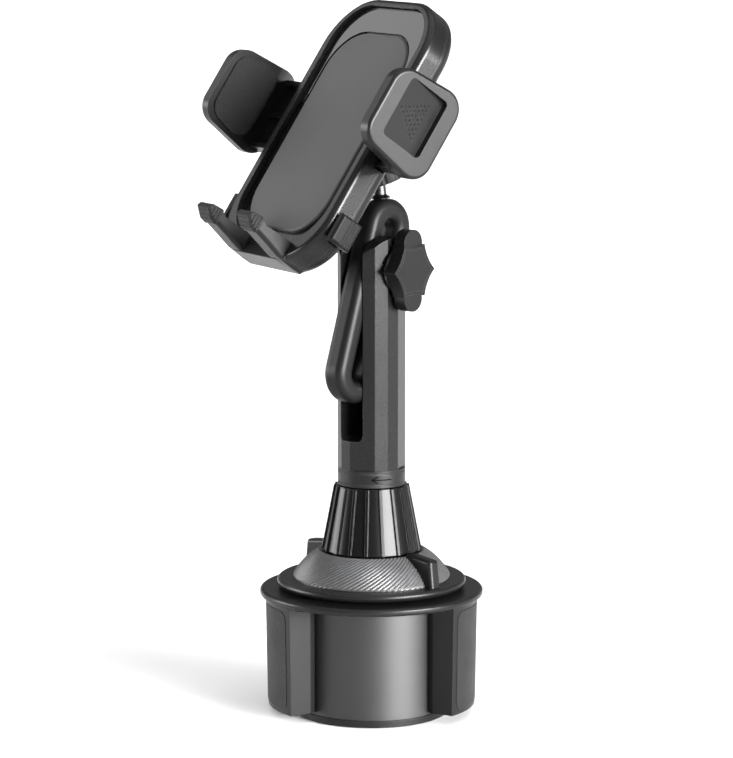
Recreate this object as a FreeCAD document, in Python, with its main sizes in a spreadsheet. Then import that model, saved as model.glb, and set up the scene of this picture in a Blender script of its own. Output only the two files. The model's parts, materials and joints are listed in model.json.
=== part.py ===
import FreeCAD, Part
import math
import os
import Sketcher
from FreeCAD import Placement, Rotation, Vector

# Car phone mount for a cup holder. Millimetres, +Z up, origin at the centre of the base's underside.
# The two expanding feet lie on the X axis.
# Three local frames are used besides the main one:
#   swing frame   the column's own frame, X out of the column's slot and Y along the clamp bolt
#   arm frame     origin on the clamp bolt, Z along the arm's slot towards the ball joint
#   cradle frame  origin at the ball's centre, X across the phone, Y up the phone, Z out of its screen

doc = FreeCAD.newDocument("car_phone_mount")
sheet = doc.addObject("Spreadsheet::Sheet", "Size")

DIMENSIONS = {
    # base
    "pad_radius": 20.8, "pad_thick": 1.5,
    "ring_radius": 25.4, "ring_bottom": 0.3, "drum_bottom": 2.4,
    "drum_radius": 24.8, "drum_wall": 1.8, "floor_thick": 2.0, "flange_bottom": 39.8,
    "flange_radius": 37.0, "flange_thick": 2.5, "flange_bore": 11.9, "flange_round": 1.0,
    "spigot_radius": 22.9, "spigot_height": 0.4, "spigot_wall": 1.2,
    # neck post, fixed on the drum's floor
    "post_foot_radius": 18.0, "post_foot_thick": 2.5, "post_radius": 8.5, "post_bore": 6.6,
    "post_taper_start": 68.0, "post_top": 75.0, "post_tip_radius": 7.7, "collet_slit": 1.2,
    "collet_slit_bottom": 58.0, "floor_screw_circle": 14.0, "floor_screw_radius": 0.9,
    "screw_head_radius": 1.9, "screw_head_thick": 1.2,
    # dial and its cam
    "dial_bottom": 43.2, "dial_thick": 2.6, "dial_radius": 31.2, "dome_foot_radius": 25.8,
    "dome_mid_radius": 22.6, "dome_mid_height": 4.6, "dome_top_radius": 16.8, "dome_height": 9.0,
    "dial_bore": 8.8, "hub_radius": 11.5, "fin_inner": 17.0, "fin_outer": 28.0, "fin_thick": 4.5,
    "fin_height": 10.2, "fin_outer_height": 8.9, "fin_heading": -43.0,
    "fin_splay": 1.0, "fin_round": 1.2,
    "cam_bottom": 36.0, "cam_thick": 3.3, "cam_radius": 22.7, "cam_turn": 150.0,
    "pin_start": 11.7, "foot_travel": 8.0, "pin_radius": 1.5, "cam_slot_gap": 0.3,
    # expanding feet
    "foot_radius": 35.0, "foot_draft": 0.6, "foot_inner": 25.3, "foot_bottom": 3.4, "foot_top": 39.3,
    "foot_half_angle": 40.0, "cheek_radius": 27.1, "cheek_half_angle": 42.4, "foot_wall": 1.8,
    "tongue_half_width": 6.0, "tongue_bottom": 32.2, "tongue_top": 35.7, "tongue_start": 9.7,
    "grip_half_angle": 36.3, "grip_inset": 0.9, "grip_proud": 0.15, "grip_margin": 1.5, "slide_gap": 0.3,
    "notch_radius": 31.5, "notch_depth": 1.3, "notch_half_width": 15.5,
    # lock collar
    "collar_bottom": 55.3, "collar_top": 76.8, "collar_low_radius": 15.9, "collar_high_radius": 11.8,
    "collar_bore": 8.8, "collar_top_bore": 7.1, "rib_count": 18.0, "rib_width": 1.0, "rib_height": 0.65,
    # column
    "band_bottom": 77.1, "column_bottom": 82.7, "band_radius": 11.2, "band_seat": 9.0,
    "spindle_radius": 6.55, "spindle_bottom": 50.0, "column_radius": 11.2, "facet_turn": 2.5,
    "slot_floor": 92.3, "back_wall_top": 110.0, "slot_half": 4.5, "slot_corner": 2.0, "back_wall": 2.0,
    "pivot_height": 148.8, "pivot_offset": -1.6, "ear_radius": 10.8, "bolt_radius": 2.0,
    "bolt_head_radius": 3.9, "bolt_head_thick": 2.8, "bolt_head_seat": 7.0, "swing_heading": -132.0,
    # knob
    "washer_start": 11.3, "washer_thick": 0.8, "washer_radius": 8.0,
    "knob_start": 12.4, "knob_thick": 5.0, "knob_radius": 9.8, "knob_dish": 0.8, "lobe_half_width": 4.3,
    "lobe_reach": 13.4, "lobe_dome": 15.0, "insert_radius": 3.4, "cap_radius": 8.4, "cap_thick": 0.8,
    # slotted arm and ball stud
    "arm_tilt": 18.5, "arm_half_width": 10.0, "arm_slot_half": 3.0, "arm_half_thick": 4.2,
    "arm_round": 2.7, "arm_above": 13.0, "arm_below": 35.5, "bush_half_width": 2.85,
    "bush_half_length": 4.5, "bush_half_thick": 4.1, "stud_radius": 2.0, "stud_thread_radius": 1.6,
    "stud_rise": 21.2, "stud_lean": 4.9, "stud_seat_radius": 3.4, "ball_radius": 5.8, "ball_bore": 1.65,
    # ball socket, on an axis tipped back from the cradle's back
    "socket_tilt": 35.0, "liner_inner": 5.86, "liner_outer": 7.0, "liner_low": 3.7, "liner_high": -5.0,
    "liner_hole": 0.8,
    "cup_inner": 7.05, "cup_outer": 8.4, "cup_lip": 0.8, "cup_root": 26.0,
    "nut_radius": 9.8, "nut_bottom": -2.0, "nut_top": 4.8, "nut_bore": 8.45, "nut_seat": 1.1,
    "nut_flutes": 14.0, "flute_radius": 1.0,
    # cradle housing
    "cradle_heading": -56.6, "face_tilt": 33.9, "cradle_roll": -1.1, "cradle_centre": 0.0,
    "housing_half_width": 30.2, "housing_half_length": 48.5, "housing_corner": 19.0,
    "cover_back": 12.4, "cover_thick": 4.6, "cover_floor": 2.0, "cover_round": 3.8,
    "shell_bottom": 17.0,
    "shell_thick": 7.0, "shell_round": 2.0, "cavity_half_width": 27.2, "cavity_half_length": 44.5,
    "cavity_corner": 17.0, "cavity_centre": 1.5, "cavity_depth": 2.6, "face_level": 24.0,
    "recess_half_width": 26.2, "recess_half_length": 43.9, "recess_corner": 15.5,
    "recess_centre": 1.9, "recess_depth": 2.8, "recess_floor": 21.2,
    "pad_half_width": 22.6, "pad_half_length": 36.9, "pad_corner": 14.0, "pad_centre": -1.1,
    "face_pad_thick": 1.5, "panel_half_width": 25.9, "panel_half_length": 43.6, "panel_corner": 15.2,
    "panel_hole_half_width": 23.2, "panel_hole_half_length": 37.5, "panel_hole_corner": 14.6,
    "panel_thick": 1.3, "panel_end": 8.0,
    "cover_screw_x": 18.0, "cover_screw_y": 38.0, "cover_screw_radius": 1.2,
    "cover_head_radius": 2.2, "boss_radius": 2.6, "seat_thick": 1.4,
    # clamps
    "clamp_centre": 4.0, "clamp_travel": 15.7, "arm_plate_start": 20.3, "arm_plate_end": 47.0,
    "arm_plate_half": 13.0, "arm_plate_bottom": 14.9, "arm_plate_thick": 1.5, "arm_rib": 1.6,
    "arm_rib_top": 18.8, "window_half": 13.5, "window_bottom": 14.6, "window_top": 19.2,
    "shell_start": 47.0, "clamp_thick": 4.6, "clamp_root": 13.3, "clamp_tip": 41.2,
    "clamp_root_half": 16.5, "clamp_tip_half": 13.2, "clamp_corner": 7.0, "clamp_edge": 1.2,
    "thumb_centre": 1.4, "thumb_half": 10.2, "thumb_low": 19.6, "thumb_high": 35.4,
    "thumb_depth": 1.2, "thumb_corner": 1.6, "thumb_tilt": 8.0,
    "dimple_radius": 0.45, "dimple_pitch": 1.7, "dimple_row": 1.33,
    "dimple_base": 24.3, "grip_root": 22.0, "grip_inset_edge": 2.2, "grip_depth": 1.2, "grip_thick": 2.0,
    # rack and pinion
    "gear_module": 0.8, "gear_teeth": 10.0, "pressure_angle": 25.0, "gear_addendum": 0.55,
    "gear_dedendum": 0.85, "gear_backlash": 0.12, "gear_bottom": 16.7, "gear_thick": 1.8,
    "gear_bore": 1.55, "rack_inner": -5.0, "rack_outer": 24.0, "rack_back": 4.1,
    # release buttons
    "button_centre": -33.0, "button_half": 4.8, "button_outer": 34.2, "button_seat": 31.5,
    "button_inner": 25.5, "button_bottom": 14.0, "button_top": 22.4, "button_stem_bottom": 15.6,
    "button_stem_top": 19.0, "button_stem_half": 4.2, "button_gap": 0.35, "button_travel": 1.2,
    "spring_radius": 1.5, "spring_wire": 0.25, "spring_pitch": 0.75, "spring_length": 3.0,
    # support foot, let into a notch in the housing's lower end
    "foot_tongue_half": 10.0, "foot_tongue_inner": -25.0, "foot_tongue_bottom": 14.7,
    "foot_tongue_top": 16.7, "foot_bar_half": 17.0, "foot_bar_inner": -45.1, "foot_bar_bottom": 14.7,
    "foot_bar_top": 23.7, "hook_centre": 12.5, "hook_half_width": 4.0, "hook_seat": 21.5,
    "hook_inner": -41.8, "hook_tip": 41.8, "hook_root_outer": -48.5, "hook_tip_outer": -45.2,
    "hook_pad_start": 36.8, "hook_pad_thick": 0.35, "hook_round": 1.4,
}
for row, (alias, number) in enumerate(DIMENSIONS.items(), start=1):
    sheet.set(f"A{row}", alias)
    sheet.set(f"B{row}", str(number))
    sheet.setAlias(f"B{row}", alias)
doc.recompute()

X_AXIS = Vector(1, 0, 0)
Y_AXIS = Vector(0, 1, 0)
Z_AXIS = Vector(0, 0, 1)
NODES = []


def mm(alias):
    """The sheet's value of one dimension."""
    return float(sheet.get(alias))


# ---- frames -----------------------------------------------------------------------------------------

swing_frame = Placement(Vector(), Rotation(Z_AXIS, mm("swing_heading")))
pivot_point = Vector(mm("pivot_offset"), 0, mm("pivot_height"))
arm_frame = swing_frame * Placement(pivot_point, Rotation(Y_AXIS, -mm("arm_tilt")))
ring_centre = arm_frame.multVec(Vector(0, 0, mm("arm_above")))
stud_frame = Placement(ring_centre, Rotation(Y_AXIS, -mm("stud_lean")))
ball_centre = stud_frame.multVec(Vector(0, 0, mm("stud_rise")))
cradle_turn = Rotation(Z_AXIS, mm("cradle_heading")) * Rotation(X_AXIS, 90 - mm("face_tilt"))
cradle_frame = Placement(ball_centre, cradle_turn * Rotation(Z_AXIS, mm("cradle_roll")))
socket_frame = cradle_frame * Placement(Vector(), Rotation(X_AXIS, 180 - mm("socket_tilt")))
bolt_frame = swing_frame * Placement(pivot_point, Rotation(X_AXIS, -90))
main_frame = Placement()


# ---- building helpers -------------------------------------------------------------------------------

def keep(item, label, frame=main_frame):
    """Name a finished sub-part, put it in its frame and list it for export."""
    item.Label = label
    item.Placement = frame
    NODES.append(item)
    return item


def size(text):
    """An expression in which each @name stands for a cell of the sheet."""
    return text.replace("@", "Size.")


def bind(item, **expressions):
    """Bind properties to expressions; a double underscore stands for a dot in the property's path."""
    for path, text in expressions.items():
        item.setExpression(path.replace("__", "."), size(text))
    return item


def cylinder(radius, bottom, height):
    item = doc.addObject("Part::Cylinder", "cylinder")
    return bind(item, Radius=radius, Height=height, Placement__Base__z=bottom)


def cone(low_radius, high_radius, bottom, height):
    item = doc.addObject("Part::Cone", "cone")
    return bind(item, Radius1=low_radius, Radius2=high_radius, Height=height, Placement__Base__z=bottom)


def sphere(radius):
    return bind(doc.addObject("Part::Sphere", "sphere"), Radius=radius)


def block(x_low, x_high, y_low, y_high, z_low, z_high):
    """A box between two corners, each side an expression."""
    item = doc.addObject("Part::Box", "block")
    bind(item, Length=f"({x_high}) - ({x_low})", Width=f"({y_high}) - ({y_low})")
    bind(item, Height=f"({z_high}) - ({z_low})")
    return bind(item, Placement__Base__x=x_low, Placement__Base__y=y_low, Placement__Base__z=z_low)


def fuse(*items):
    item = doc.addObject("Part::MultiFuse", "fuse")
    item.Shapes = list(items)
    item.Refine = True
    return item


def cut(base, *tools):
    item = doc.addObject("Part::Cut", "cut")
    item.Base = base
    item.Tool = tools[0] if len(tools) == 1 else fuse(*tools)
    item.Refine = True
    return item


def common(base, tool):
    item = doc.addObject("Part::Common", "common")
    item.Base = base
    item.Tool = tool
    return item


def tube(outer, inner, bottom, height):
    """A straight ring: a cylinder less a longer bore."""
    bore = cylinder(inner, f"{bottom} - 1", f"{height} + 2")
    return cut(cylinder(outer, bottom, height), bore)


def group(*items):
    """Several separate solids kept as one sub-part."""
    item = doc.addObject("Part::Compound", "group")
    item.Links = list(items)
    return item


def moved(item, x="0", y="0"):
    """Shift a Z-standing primitive sideways by expressions."""
    return bind(item, Placement__Base__x=x, Placement__Base__y=y)


def shape_node(label, shape, frame=main_frame):
    """A sub-part whose shape comes from Part's own functions."""
    item = doc.addObject("Part::Feature", label)
    item.Shape = shape
    return keep(item, label, frame * shape.Placement)


def new_body(name):
    return doc.addObject("PartDesign::Body", name)


def sketch_on(body, role="XY_Plane", offset=None):
    """A sketch on one of the body's own origin planes, moved along the plane's normal."""
    sketch = body.newObject("Sketcher::SketchObject", "sketch")
    origin_plane = next(item for item in body.Origin.OriginFeatures if item.Role == role)
    sketch.AttachmentSupport = (origin_plane, "")
    sketch.MapMode = "FlatFace"
    if offset:
        bind(sketch, AttachmentOffset__Base__z=offset)
    return sketch


def draw_circle(sketch, radius):
    """A circle about the sketch's origin."""
    index = sketch.addGeometry(Part.Circle(Vector(), Z_AXIS, mm(radius)))
    sketch.addConstraint(Sketcher.Constraint("Coincident", index, 3, -1, 1))
    number = sketch.addConstraint(Sketcher.Constraint("Radius", index, mm(radius)))
    sketch.setExpression(f"Constraints[{number}]", size(f"@{radius}"))


def draw_rounded_rectangle(sketch, half_width, half_length, corner, centre):
    """A rounded rectangle centred on the sketch's Y axis; each argument is a dimension's name."""
    wide = mm(half_width)
    long = mm(half_length)
    bend = mm(corner)
    middle = mm(centre)
    corners = [(1, 1, 0), (-1, 1, 90), (-1, -1, 180), (1, -1, 270)]
    arcs = []
    for side, end, angle in corners:
        hub = Vector(side * (wide - bend), middle + end * (long - bend), 0)
        circle = Part.Circle(hub, Z_AXIS, bend)
        arc = Part.ArcOfCircle(circle, math.radians(angle), math.radians(angle + 90))
        arcs.append(sketch.addGeometry(arc))
    lines = []
    for first, second in zip(arcs, arcs[1:] + arcs[:1]):
        start = sketch.getPoint(first, 2)
        line = sketch.addGeometry(Part.LineSegment(start, sketch.getPoint(second, 1)))
        lines.append(line)
        sketch.addConstraint(Sketcher.Constraint("Tangent", first, 2, line, 1))
        sketch.addConstraint(Sketcher.Constraint("Tangent", line, 2, second, 1))
    for other in arcs[1:]:
        sketch.addConstraint(Sketcher.Constraint("Equal", arcs[0], other))
    sketch.addConstraint(Sketcher.Constraint("Vertical", lines[3]))
    sketch.addConstraint(Sketcher.Constraint("Symmetric", arcs[0], 3, arcs[1], 3, -2))
    sketch.addConstraint(Sketcher.Constraint("Symmetric", arcs[3], 3, arcs[2], 3, -2))
    numbers = {
        f"@{corner}": sketch.addConstraint(Sketcher.Constraint("Radius", arcs[0], bend)),
        f"2 * (@{half_width} - @{corner})": sketch.addConstraint(
            Sketcher.Constraint("DistanceX", arcs[1], 3, arcs[0], 3, 2 * (wide - bend))),
        f"2 * (@{half_length} - @{corner})": sketch.addConstraint(
            Sketcher.Constraint("DistanceY", arcs[3], 3, arcs[0], 3, 2 * (long - bend))),
        f"@{centre} + @{half_length} - @{corner}": sketch.addConstraint(
            Sketcher.Constraint("DistanceY", -1, 1, arcs[0], 3, middle + long - bend)),
    }
    for text, number in numbers.items():
        sketch.setExpression(f"Constraints[{number}]", size(text))


def pad(body, sketch, length):
    item = body.newObject("PartDesign::Pad", "pad")
    item.Profile = sketch
    return bind(item, Length=length)


def pocket(body, sketch, depth, upward=False):
    """Cut a sketch's outline into the body, downward from the sketch unless told upward."""
    item = body.newObject("PartDesign::Pocket", "pocket")
    item.Profile = sketch
    item.Reversed = upward
    return bind(item, Length=depth)


def rim_edges(shape, height, reach):
    """Names of the edges that lie at one height and outside a distance from the Y axis' plane."""
    names = []
    for index, edge in enumerate(shape.Edges, start=1):
        box = edge.BoundBox
        level = abs(box.ZMin - height) < 0.01 and abs(box.ZMax - height) < 0.01
        wide = max(abs(box.XMin), abs(box.XMax), abs(box.YMin), abs(box.YMax)) > reach
        if level and wide:
            names.append(f"Edge{index}")
    return names


def fillet_rim(body, feature, height, reach, radius):
    """Round the outer rim at one height; reach tells the outer rim from the inner ones."""
    doc.recompute()
    item = body.newObject("PartDesign::Fillet", "fillet")
    item.Base = (feature, rim_edges(feature.Shape, height, reach))
    return bind(item, Radius=f"@{radius}")


def plate(name, outline, bottom, thick):
    """A body padded from one rounded rectangle."""
    body = new_body(name)
    sketch = sketch_on(body, offset=f"@{bottom}")
    draw_rounded_rectangle(sketch, *outline)
    return body, pad(body, sketch, f"@{thick}")


# ---- base: drum, bottom ring, flange, neck post -----------------------------------------------------

def floor_screws():
    """Three countersunk screws up through the drum's floor into the neck post's foot."""
    screws = []
    for turn in (90, 210, 330):
        x = f"@floor_screw_circle * cos({turn})"
        y = f"@floor_screw_circle * sin({turn})"
        head = moved(cylinder("@screw_head_radius", "@drum_bottom", "@screw_head_thick"), x, y)
        shank = moved(cylinder("@floor_screw_radius", "@drum_bottom", "@floor_thick + 2"), x, y)
        screws.append(fuse(head, shank))
    return screws


def make_drum(screws):
    drum = cylinder("@drum_radius", "@drum_bottom", "@flange_bottom - @drum_bottom")
    hollow = cylinder("@drum_radius - @drum_wall", "@drum_bottom + @floor_thick", "@flange_bottom")
    window = block("-@drum_radius - 5", "@drum_radius + 5",
                   "-@tongue_half_width - @slide_gap", "@tongue_half_width + @slide_gap",
                   "@tongue_bottom - @slide_gap", "@tongue_top + @slide_gap")
    keep(cut(drum, hollow, window, *screws), "base_drum")


def make_underside():
    ring = cylinder("@ring_radius", "@ring_bottom", "@drum_bottom - @ring_bottom")
    recess = cylinder("@pad_radius + 0.1", "@ring_bottom - 1", "@pad_thick - @ring_bottom + 1")
    keep(cut(ring, recess), "bottom_ring")
    keep(cylinder("@pad_radius", "0", "@pad_thick"), "grip_pad")


def make_flange():
    body = new_body("flange_body")
    sketch = sketch_on(body, offset="@flange_bottom")
    draw_circle(sketch, "flange_radius")
    draw_circle(sketch, "flange_bore")
    disc = pad(body, sketch, "@flange_thick")
    reach = mm("flange_bore") + 1
    top = mm("flange_bottom") + mm("flange_thick")
    upper = fillet_rim(body, disc, top, reach, "flange_round")
    fillet_rim(body, upper, mm("flange_bottom"), reach, "flange_round")
    spigot = tube("@spigot_radius", "@spigot_radius - @spigot_wall",
                  "@flange_bottom - @spigot_height", "@spigot_height")
    keep(fuse(body, spigot), "flange_plate")


def make_neck_post(screws):
    base = "@drum_bottom + @floor_thick"
    foot = cylinder("@post_foot_radius", base, "@post_foot_thick")
    stem = cylinder("@post_radius", base, f"@post_taper_start - ({base})")
    tip = cone("@post_radius", "@post_tip_radius", "@post_taper_start", "@post_top - @post_taper_start")
    bore = cylinder("@post_bore", "@spindle_bottom - 8", "@post_top")
    slits = [block("-@post_radius - 1", "@post_radius + 1", "-@collet_slit / 2", "@collet_slit / 2",
                   "@collet_slit_bottom", "@post_top + 1"),
             block("-@collet_slit / 2", "@collet_slit / 2", "-@post_radius - 1", "@post_radius + 1",
                   "@collet_slit_bottom", "@post_top + 1")]
    keep(cut(fuse(foot, stem, tip), bore, *slits, *screws), "neck_post")


# ---- dial, cam disc ---------------------------------------------------------------------------------

def make_dial():
    """Thin disc, convex dome, hub down to the cam, and two finger fins opposite each other."""
    disc_top = mm("dial_bottom") + mm("dial_thick")
    dome_top = disc_top + mm("dome_height")
    cam_top = mm("cam_bottom") + mm("cam_thick")
    bore = mm("dial_bore")
    corner = 0.9
    dome = Part.Arc(Vector(mm("dome_foot_radius"), 0, disc_top),
                    Vector(mm("dome_mid_radius"), 0, disc_top + mm("dome_mid_height")),
                    Vector(mm("dome_top_radius"), 0, dome_top))
    rim = Part.Arc(Vector(mm("dial_radius") - corner, 0, mm("dial_bottom")),
                   Vector(mm("dial_radius"), 0, mm("dial_bottom") + corner),
                   Vector(mm("dial_radius") - corner * 0.7, 0, disc_top))
    outline = [Vector(bore, 0, cam_top), Vector(mm("hub_radius"), 0, cam_top),
               Vector(mm("hub_radius"), 0, mm("dial_bottom")), rim.StartPoint]
    edges = [Part.LineSegment(a, b).toShape() for a, b in zip(outline, outline[1:])]
    edges.append(rim.toShape())
    edges.append(Part.LineSegment(rim.EndPoint, dome.StartPoint).toShape())
    edges.append(dome.toShape())
    inner = [dome.EndPoint, Vector(bore, 0, dome_top), outline[0]]
    edges += [Part.LineSegment(a, b).toShape() for a, b in zip(inner, inner[1:])]
    turned = Part.Face(Part.Wire(edges)).revolve(Vector(), Z_AXIS, 360)
    underside = Vector(0, 0, mm("dial_bottom"))
    hollow = Part.makeCylinder(mm("dome_top_radius"), mm("dome_mid_height"), underside)
    core = Part.makeCylinder(mm("hub_radius"), mm("dome_mid_height"), underside)
    solid = turned.cut(hollow.cut(core))
    for turn in (0, 180):
        solid = solid.fuse(make_fin(disc_top).rotated(Vector(), Z_AXIS, mm("fin_heading") + turn))
    shape_node("dial", solid.removeSplitter())


def make_fin(disc_top):
    """One radial fin on the dome, drawn along X, wider at its foot and rounded along the top."""
    inner = mm("fin_inner")
    outer = mm("fin_outer")
    low = disc_top - 0.5
    points = [Vector(inner, 0, low), Vector(outer + mm("fin_splay"), 0, low),
              Vector(outer, 0, disc_top + mm("fin_outer_height")),
              Vector(inner, 0, disc_top + mm("fin_height")), Vector(inner, 0, low)]
    half = Vector(0, mm("fin_thick") / 2, 0)
    fin = Part.Face(Part.makePolygon(points)).extrude(Vector(0, mm("fin_thick"), 0)).translated(half * -1)
    tops = [edge for edge in fin.Edges if edge.BoundBox.ZMin > disc_top]
    ends = [edge for edge in fin.Edges if edge.BoundBox.XMin > outer - 0.1]
    uprights = [edge for edge in ends if edge.BoundBox.ZMin < disc_top and edge.BoundBox.ZLength > 1]
    return fin.makeFillet(mm("fin_round"), tops + uprights)


def make_cam():
    """Disc with two spiral slots that drive the feet's pins outward at an even rate."""
    bottom = mm("cam_bottom")
    thick = mm("cam_thick")
    disc = Part.makeCylinder(mm("cam_radius"), thick, Vector(0, 0, bottom))
    disc = disc.cut(Part.makeCylinder(mm("dial_bore"), thick, Vector(0, 0, bottom)))
    half_width = mm("pin_radius") + mm("cam_slot_gap")
    turn = math.radians(mm("cam_turn"))
    for side in (0, 180):
        flat = spiral_slot(mm("pin_start"), mm("foot_travel"), turn, half_width)
        slot = flat.extrude(Vector(0, 0, thick)).translated(Vector(0, 0, bottom))
        disc = disc.cut(slot.rotated(Vector(), Z_AXIS, side))
    shape_node("cam_disc", disc)


def spiral_slot(start, travel, turn, half_width):
    """A flat slot along r = start + travel * angle / turn, running clockwise from +X."""
    steps = 24

    def spot(step, side):
        part = step / steps
        radius = start + travel * part
        angle = -turn * part
        slope = -travel / turn
        along = Vector(slope * math.cos(angle) - radius * math.sin(angle),
                       slope * math.sin(angle) + radius * math.cos(angle), 0).normalize()
        out = Vector(along.y, -along.x, 0)
        return Vector(radius * math.cos(angle), radius * math.sin(angle), 0) + out * (side * half_width)

    def rail(side):
        curve = Part.BSplineCurve()
        curve.interpolate([spot(step, side) for step in range(steps + 1)])
        return curve.toShape()

    def end(step, way):
        middle = spot(step, 0)
        across = spot(step, 1) - spot(step, -1)
        ahead = Vector(across.y, -across.x, 0).normalize() * (way * half_width)
        return Part.Arc(spot(step, 1), middle + ahead, spot(step, -1)).toShape()

    return Part.Face(Part.Wire(Part.__sortEdges__([rail(1), end(steps, 1), rail(-1), end(0, -1)])))


# ---- expanding feet ---------------------------------------------------------------------------------

def polar(radius, angle, height):
    """Point at a radius and an angle in degrees from X."""
    turn = math.radians(angle)
    return Vector(radius * math.cos(turn), radius * math.sin(turn), height)


def ring_sector(outer, inner, half_angle, height):
    """Closed wire of a ring sector about +X at one height."""
    def spot(radius, angle):
        return polar(radius, angle, height)
    edges = [Part.Arc(spot(outer, -half_angle), spot(outer, 0), spot(outer, half_angle)).toShape(),
             Part.LineSegment(spot(outer, half_angle), spot(inner, half_angle)).toShape(),
             Part.Arc(spot(inner, half_angle), spot(inner, 0), spot(inner, -half_angle)).toShape(),
             Part.LineSegment(spot(inner, -half_angle), spot(outer, -half_angle)).toShape()]
    return Part.Wire(edges)


def drafted_sector(outer_top, inner, half_angle, bottom, top):
    """Ring sector between two heights whose outer wall leans in towards the bottom."""
    full = mm("foot_top") - mm("foot_bottom")

    def outer_at(height):
        return outer_top - mm("foot_draft") * (mm("foot_top") - height) / full
    wires = [ring_sector(outer_at(height), inner, half_angle, height) for height in (bottom, top)]
    return Part.makeLoft(wires, True, True)


def foot_outline(height, outer):
    """Plan of a foot: curved outer wall, cheeks that flare inward, and a face round the drum."""
    def spot(radius, angle):
        return polar(radius, angle, height)
    wide = mm("foot_half_angle")
    cheek = mm("cheek_half_angle")
    inner = mm("foot_inner")
    knee = mm("cheek_radius")
    side = [spot(outer, wide), spot(knee, cheek), spot(inner, cheek)]
    other = [Vector(point.x, -point.y, point.z) for point in side]
    edges = [Part.Arc(other[0], spot(outer, 0), side[0]).toShape(),
             Part.Arc(side[2], spot(inner, 0), other[2]).toShape()]
    edges += [Part.LineSegment(a, b).toShape() for a, b in zip(side, side[1:])]
    edges += [Part.LineSegment(a, b).toShape() for a, b in zip(other, other[1:])]
    return Part.Wire(Part.__sortEdges__(edges))


def make_foot(name, turn):
    """A hollow foot with its tongue through the drum's window, its rubber pad and its steel pin."""
    frame = Placement(Vector(), Rotation(Z_AXIS, turn))
    bottom = mm("foot_bottom")
    top = mm("foot_top")
    wall = mm("foot_wall")
    outer = mm("foot_radius")
    low = foot_outline(bottom, outer - mm("foot_draft"))
    block_shape = Part.makeLoft([low, foot_outline(top, outer)], True, True)
    hollow_top = mm("tongue_bottom") - wall
    hollow = drafted_sector(outer - 2 * wall, mm("foot_inner") - 1, mm("grip_half_angle"),
                            bottom + wall, hollow_top)
    half = mm("tongue_half_width")
    tongue_height = mm("tongue_top") - mm("tongue_bottom")
    tongue = Part.makeBox(outer - 2 * wall - mm("tongue_start"), 2 * half, tongue_height,
                          Vector(mm("tongue_start"), -half, mm("tongue_bottom")))
    pin_height = mm("cam_bottom") + mm("cam_thick") - mm("slide_gap") - mm("tongue_bottom")
    pin = Part.makeCylinder(mm("pin_radius"), pin_height, Vector(mm("pin_start"), 0, mm("tongue_bottom")))
    margin = mm("grip_margin")
    grip = drafted_sector(outer + mm("grip_proud"), outer - 2, mm("grip_half_angle"),
                          bottom + margin, top - margin)
    seat = drafted_sector(outer - mm("grip_inset"), outer - 3, mm("grip_half_angle") + 2, bottom, top)
    grip = round_grip(grip.cut(seat))
    foot = block_shape.cut(hollow).cut(cheek_notches()).fuse(tongue).cut(pin).cut(grip)
    shape_node(f"expander_foot_{name}", foot.removeSplitter(), frame)
    shape_node(f"foot_pad_{name}", grip, frame)
    shape_node(f"cam_pin_{name}", pin, frame)


def cheek_notches():
    """The two shallow steps at the top of a foot's cheeks, next to the drum."""
    depth = mm("notch_depth")
    half = mm("notch_half_width")
    reach = mm("notch_radius")
    low = mm("foot_top") - depth
    disc = Part.makeCylinder(reach, depth, Vector(0, 0, low))
    return disc.cut(Part.makeBox(2 * reach, 2 * half, depth, Vector(-reach, -half, low)))


def round_grip(grip):
    """Round the pad's four outline corners."""
    corners = [edge for edge in grip.Edges
               if edge.BoundBox.XLength > 0.3 and edge.BoundBox.ZLength < 0.2 and edge.Length < 2.0]
    return grip.makeFillet(3.0, corners)


# ---- lock collar, column ----------------------------------------------------------------------------

def make_collar():
    height = "@collar_top - @collar_bottom"
    skin = cone("@collar_low_radius", "@collar_high_radius", "@collar_bottom", height)
    bore = cylinder("@collar_bore", "@collar_bottom - 1", "@post_taper_start - @collar_bottom + 1")
    taper = cone("@collar_bore", "@post_tip_radius + 0.3", "@post_taper_start",
                 "@post_top - @post_taper_start + 0.2")
    mouth = cylinder("@collar_top_bore", "@post_top", "@collar_top")
    ribs = [collar_rib(360 / mm("rib_count") * index) for index in range(int(mm("rib_count")))]
    keep(cut(fuse(skin, *ribs), bore, taper, mouth), "lock_collar")


def collar_rib(heading):
    """One upright grip rib that follows the cone."""
    low = mm("collar_bottom")
    high = mm("collar_top")
    inner = mm("collar_top_bore") + 1.5
    points = [Vector(inner, 0, low), Vector(mm("collar_low_radius") + mm("rib_height"), 0, low),
              Vector(mm("collar_high_radius") + mm("rib_height"), 0, high), Vector(inner, 0, high)]
    points.append(points[0])
    face = Part.Face(Part.makePolygon(points))
    rib = face.extrude(Vector(0, mm("rib_width"), 0)).translated(Vector(0, -mm("rib_width") / 2, 0))
    item = doc.addObject("Part::Feature", "rib")
    item.Shape = rib.rotated(Vector(), Z_AXIS, heading + 3.5)
    return item


def column_prism(bottom, top):
    """Twelve-sided post: four wide facets and eight narrow ones."""
    radius = mm("column_radius")
    turns = [base + step + mm("facet_turn") for base in (0, 90, 180, 270) for step in (0, 45, 67.5)]
    points = [Vector(radius * math.cos(math.radians(turn)), radius * math.sin(math.radians(turn)), bottom)
              for turn in turns]
    return Part.Face(Part.makePolygon(points + points[:1])).extrude(Vector(0, 0, top - bottom))


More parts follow.
